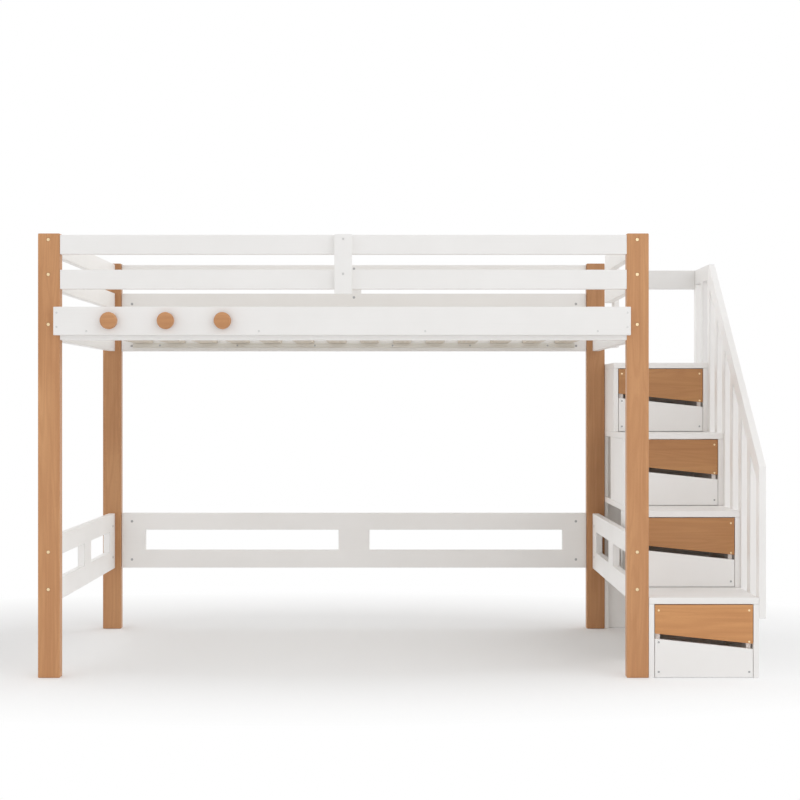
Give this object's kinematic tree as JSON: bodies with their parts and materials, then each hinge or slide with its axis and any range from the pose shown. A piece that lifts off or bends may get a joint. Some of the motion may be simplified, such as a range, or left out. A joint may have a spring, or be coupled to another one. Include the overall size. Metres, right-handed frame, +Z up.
{
  "type": "loft bed",
  "caption": "Loft bed with a slatted deck and guard rails on wooden posts, and a drawer staircase with a railing at one end.",
  "frame": {"origin": "the middle of the whole object's footprint, on the floor", "axes": "+X to the right seen from the front, where the staircase is; -Y to the front; +Z up"},
  "size_m": [2.4122, 1.1438, 1.4727],
  "materials": {
    "natural_wood": "clear satin lacquer",
    "white_paint": "white satin paint on wood",
    "pale_wood": "bare planed softwood",
    "brass_fasteners": "yellow plated steel",
    "zinc_fasteners": "zinc plated steel"
  },
  "bodies": {
    "bed": {"post_front_left": "natural_wood", "post_front_right": "natural_wood", "post_back_left": "natural_wood", "post_back_right": "natural_wood", "side_rail_front": "white_paint", "side_rail_back": "white_paint", "end_rail_left": "white_paint", "end_rail_right": "white_paint", "guard_rail_front_upper": "white_paint", "guard_rail_front_lower": "white_paint", "guard_brace_front": "white_paint", "guard_rail_back_upper": "white_paint", "guard_rail_back_lower": "white_paint", "guard_brace_back": "white_paint", "guard_rail_left_upper": "white_paint", "guard_rail_left_lower": "white_paint", "guard_rail_right_upper": "white_paint", "guard_rail_right_lower": "white_paint", "guard_post_right": "white_paint", "cover_board": "white_paint", "peg_1": "natural_wood", "peg_2": "natural_wood", "peg_3": "natural_wood", "lower_rail_back": "white_paint", "lower_rail_left": "white_paint", "lower_rail_right": "white_paint", "slat_ledger_front": "pale_wood", "slat_ledger_back": "pale_wood", "slat_roll": "pale_wood", "tread_1": "white_paint", "tread_2": "white_paint", "tread_3": "white_paint", "tread_4": "white_paint", "stair_side_left_1": "white_paint", "stair_side_left_2": "white_paint", "stair_side_left_3": "white_paint", "stair_side_left_4": "white_paint", "stair_side_right_1": "white_paint", "stair_side_right_2": "white_paint", "stair_side_right_3": "white_paint", "stair_side_right_4": "white_paint", "stair_stile": "white_paint", "stair_back_panel": "white_paint", "railing_handrail": "white_paint", "railing_top_rail": "white_paint", "railing_newel": "white_paint", "railing_rear_post": "white_paint", "platform_back_rail": "white_paint"},
    "drawer_1": {"drawer_1_front_upper": "natural_wood", "drawer_1_front_lower": "white_paint", "drawer_1_box": "white_paint"},
    "drawer_2": {"drawer_2_front_upper": "natural_wood", "drawer_2_front_lower": "white_paint", "drawer_2_box": "white_paint"},
    "drawer_3": {"drawer_3_front_upper": "natural_wood", "drawer_3_front_lower": "white_paint", "drawer_3_box": "white_paint"},
    "drawer_4": {"drawer_4_front_upper": "natural_wood", "drawer_4_front_lower": "white_paint", "drawer_4_box": "white_paint"}
  },
  "joints": [
    {"name": "drawer_1_slide", "type": "slide", "parent": "bed", "child": "drawer_1", "axis": [0, -1, 0], "range_m": [0, 0.25]},
    {"name": "drawer_2_slide", "type": "slide", "parent": "bed", "child": "drawer_2", "axis": [0, -1, 0], "range_m": [0, 0.25]},
    {"name": "drawer_3_slide", "type": "slide", "parent": "bed", "child": "drawer_3", "axis": [0, -1, 0], "range_m": [0, 0.25]},
    {"name": "drawer_4_slide", "type": "slide", "parent": "bed", "child": "drawer_4", "axis": [0, -1, 0], "range_m": [0, 0.18]}
  ]
}
